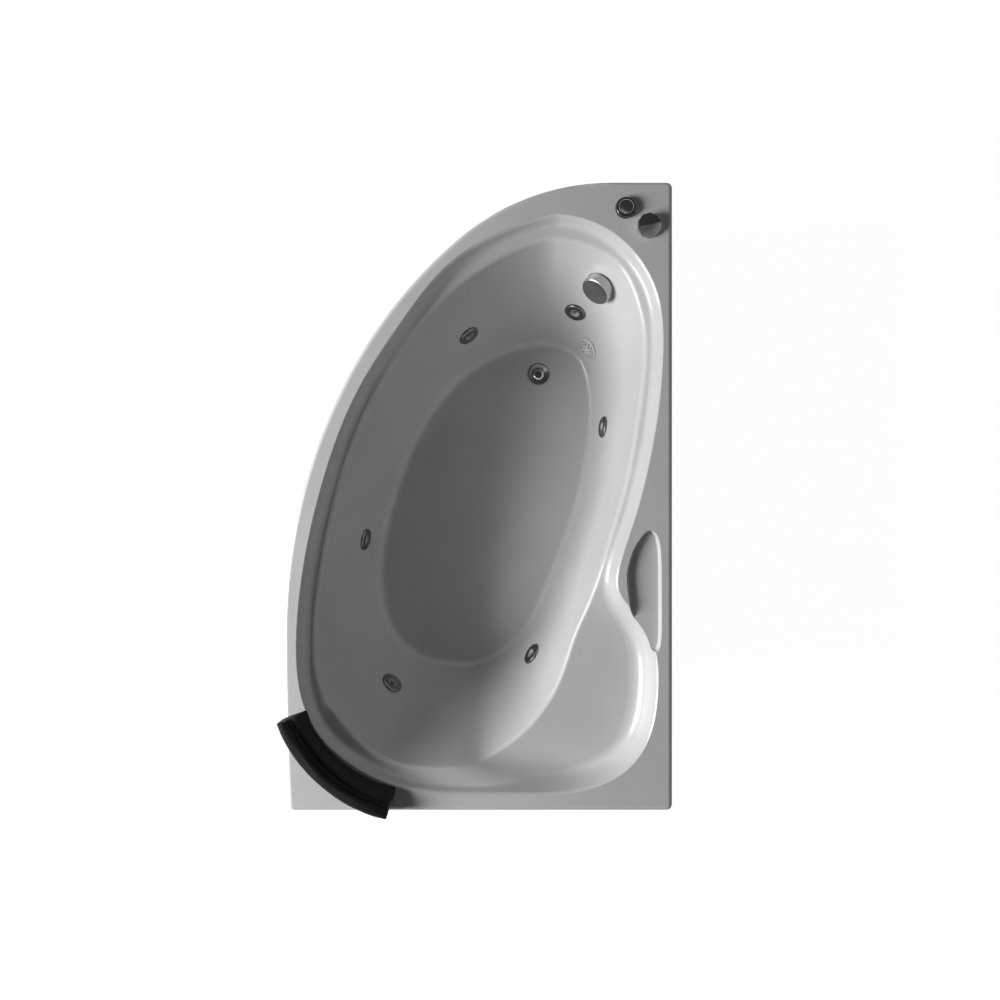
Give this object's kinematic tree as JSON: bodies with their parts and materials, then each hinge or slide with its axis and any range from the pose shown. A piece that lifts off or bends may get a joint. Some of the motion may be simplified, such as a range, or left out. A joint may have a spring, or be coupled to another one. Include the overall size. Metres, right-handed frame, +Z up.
{
  "type": "jetted corner bathtub",
  "caption": "Asymmetric corner bathtub in white acrylic with water jets, pump and air controls, lifting drain plug, moulded shelf, soap dish and black headrest.",
  "frame": {"origin": "on the floor under the middle of the rim's bounding box", "axes": "+X to the long wall side, +Y to the foot end with the drain, +Z up"},
  "size_m": [0.99, 1.6, 0.6747],
  "materials": {
    "white_acrylic": "glossy white acrylic",
    "chipboard": "raw board",
    "painted_steel": "grey paint",
    "zinc_steel": "zinc plated",
    "black_rubber": "matt rubber",
    "chrome": "polished chrome",
    "grey_plastic": "grey moulded",
    "white_plastic": "white moulded",
    "pipe_plastic": "bent grey plastic tube",
    "motor_paint": "dark grey paint",
    "black_plastic": "black moulded",
    "black_foam": "soft black integral skin foam"
  },
  "bodies": {
    "tub": {"tub_shell": "white_acrylic", "base_board": "chipboard", "front_apron": "white_acrylic", "frame_rails": "painted_steel", "apron_brackets": "painted_steel", "corner_posts": "painted_steel", "foot_pads": "black_rubber", "foot_studs": "zinc_steel", "foot_nuts": "zinc_steel", "jet_sleeves": "white_plastic", "jet_bodies": "white_plastic", "pipe_tees": "white_plastic", "water_pipes": "pipe_plastic", "air_pipes": "pipe_plastic", "stub_caps": "white_plastic", "suction_body": "white_plastic", "suction_cover": "white_plastic", "suction_screw": "zinc_steel", "waste_flange": "chrome", "waste_body": "white_plastic", "waste_trap": "white_plastic", "overflow_body": "white_plastic", "wall_gaskets": "black_rubber", "overflow_pipe": "pipe_plastic", "plug_cable": "pipe_plastic", "air_control_body": "chrome", "button_body": "chrome", "ring_nuts": "white_plastic", "pump_motor_housing": "motor_paint", "pump_stator": "motor_paint", "pump_bearings": "zinc_steel", "pump_volute": "black_plastic", "pump_volute_cover": "black_plastic", "terminal_box": "black_plastic", "pump_tray": "painted_steel", "pump_feet": "black_rubber", "main_pipes": "pipe_plastic", "pipe_clips": "zinc_steel", "button_tube": "pipe_plastic", "headrest_pillow": "black_foam", "pillow_cups": "black_rubber"},
    "jet_ring_1": {"jet_ring_1": "chrome"},
    "jet_nozzle_1": {"jet_nozzle_1": "grey_plastic"},
    "jet_ring_2": {"jet_ring_2": "chrome"},
    "jet_nozzle_2": {"jet_nozzle_2": "grey_plastic"},
    "jet_ring_3": {"jet_ring_3": "chrome"},
    "jet_nozzle_3": {"jet_nozzle_3": "grey_plastic"},
    "jet_ring_4": {"jet_ring_4": "chrome"},
    "jet_nozzle_4": {"jet_nozzle_4": "grey_plastic"},
    "jet_ring_5": {"jet_ring_5": "chrome"},
    "jet_nozzle_5": {"jet_nozzle_5": "grey_plastic"},
    "jet_ring_6": {"jet_ring_6": "chrome"},
    "jet_nozzle_6": {"jet_nozzle_6": "grey_plastic"},
    "overflow_knob": {"overflow_knob": "chrome"},
    "waste_plug": {"waste_plug": "chrome", "plug_seal": "black_rubber"},
    "air_control_knob": {"air_control_knob": "chrome"},
    "pump_button": {"pump_button": "chrome"},
    "pump_rotor": {"pump_shaft": "zinc_steel", "pump_impeller": "black_plastic"}
  },
  "joints": [
    {"name": "jet_1_flow_turn", "type": "hinge", "parent": "tub", "child": "jet_ring_1", "pos_m": [-0.03334, 0.45878, 0.33969], "axis": [0.5731, -0.755, 0.3186], "range_deg": [0, 90]},
    {"name": "jet_1_aim", "type": "hinge", "parent": "jet_ring_1", "child": "jet_nozzle_1", "pos_m": [-0.03678, 0.46331, 0.33778], "axis": [0.7965, 0.6046, 0], "range_deg": [-12, 12]},
    {"name": "jet_2_flow_turn", "type": "hinge", "parent": "tub", "child": "jet_ring_2", "pos_m": [0.27207, 0.5282, 0.32372], "axis": [-0.3556, -0.8289, 0.4319], "range_deg": [0, 90]},
    {"name": "jet_2_aim", "type": "hinge", "parent": "jet_ring_2", "child": "jet_nozzle_2", "pos_m": [0.2742, 0.53317, 0.32113], "axis": [0.919, -0.3943, 0], "range_deg": [-12, 12]},
    {"name": "jet_3_flow_turn", "type": "hinge", "parent": "tub", "child": "jet_ring_3", "pos_m": [0.35822, 0.20276, 0.27784], "axis": [-0.9771, 0.1096, 0.1825], "range_deg": [0, 90]},
    {"name": "jet_3_aim", "type": "hinge", "parent": "jet_ring_3", "child": "jet_nozzle_3", "pos_m": [0.36408, 0.2021, 0.27674], "axis": [-0.1115, -0.9938, 0], "range_deg": [-12, 12]},
    {"name": "jet_4_flow_turn", "type": "hinge", "parent": "tub", "child": "jet_ring_4", "pos_m": [-0.33274, -0.12264, 0.31007], "axis": [0.9607, -0.18, 0.2112], "range_deg": [0, 90]},
    {"name": "jet_4_aim", "type": "hinge", "parent": "jet_ring_4", "child": "jet_nozzle_4", "pos_m": [-0.3385, -0.12156, 0.30881], "axis": [0.1841, 0.9829, 0], "range_deg": [-12, 12]},
    {"name": "jet_5_flow_turn", "type": "hinge", "parent": "tub", "child": "jet_ring_5", "pos_m": [0.14949, -0.45318, 0.30574], "axis": [-0.8001, 0.5267, 0.2872], "range_deg": [0, 90]},
    {"name": "jet_5_aim", "type": "hinge", "parent": "jet_ring_5", "child": "jet_nozzle_5", "pos_m": [0.15429, -0.45634, 0.30401], "axis": [-0.5499, -0.8352, 0], "range_deg": [-12, 12]},
    {"name": "jet_6_flow_turn", "type": "hinge", "parent": "tub", "child": "jet_ring_6", "pos_m": [-0.25293, -0.53332, 0.3276], "axis": [0.5955, 0.6861, 0.4179], "range_deg": [0, 90]},
    {"name": "jet_6_aim", "type": "hinge", "parent": "jet_ring_6", "child": "jet_nozzle_6", "pos_m": [-0.25651, -0.53743, 0.32509], "axis": [-0.7552, 0.6555, 0], "range_deg": [-12, 12]},
    {"name": "overflow_knob_turn", "type": "hinge", "parent": "tub", "child": "overflow_knob", "pos_m": [0.32871, 0.57, 0.4638], "axis": [-0.5774, -0.7082, 0.4063], "range_deg": [0, 100]},
    {"name": "waste_plug_lift", "type": "slide", "parent": "tub", "child": "waste_plug", "axis": [0, 0, 1], "range_m": [0, 0.0122]},
    {"name": "air_control_turn", "type": "hinge", "parent": "tub", "child": "air_control_knob", "pos_m": [0.43263, 0.6836, 0.6], "axis": [0, 0, 1], "range_deg": [0, 180]},
    {"name": "pump_button_press", "type": "slide", "parent": "tub", "child": "pump_button", "axis": [0, 0, -1], "range_m": [0, 0.004], "stiffness_N_per_m": 900, "springref_m": -0.002},
    {"name": "pump_rotor_spin", "type": "hinge", "parent": "tub", "child": "pump_rotor", "pos_m": [0.40095, -0.568, 0.106], "axis": [0, 1, 0], "continuous": true}
  ],
  "couplings": [
    {"joint": "waste_plug_lift", "follows": "overflow_knob_turn", "m_per_rad": 0.0068755}
  ]
}
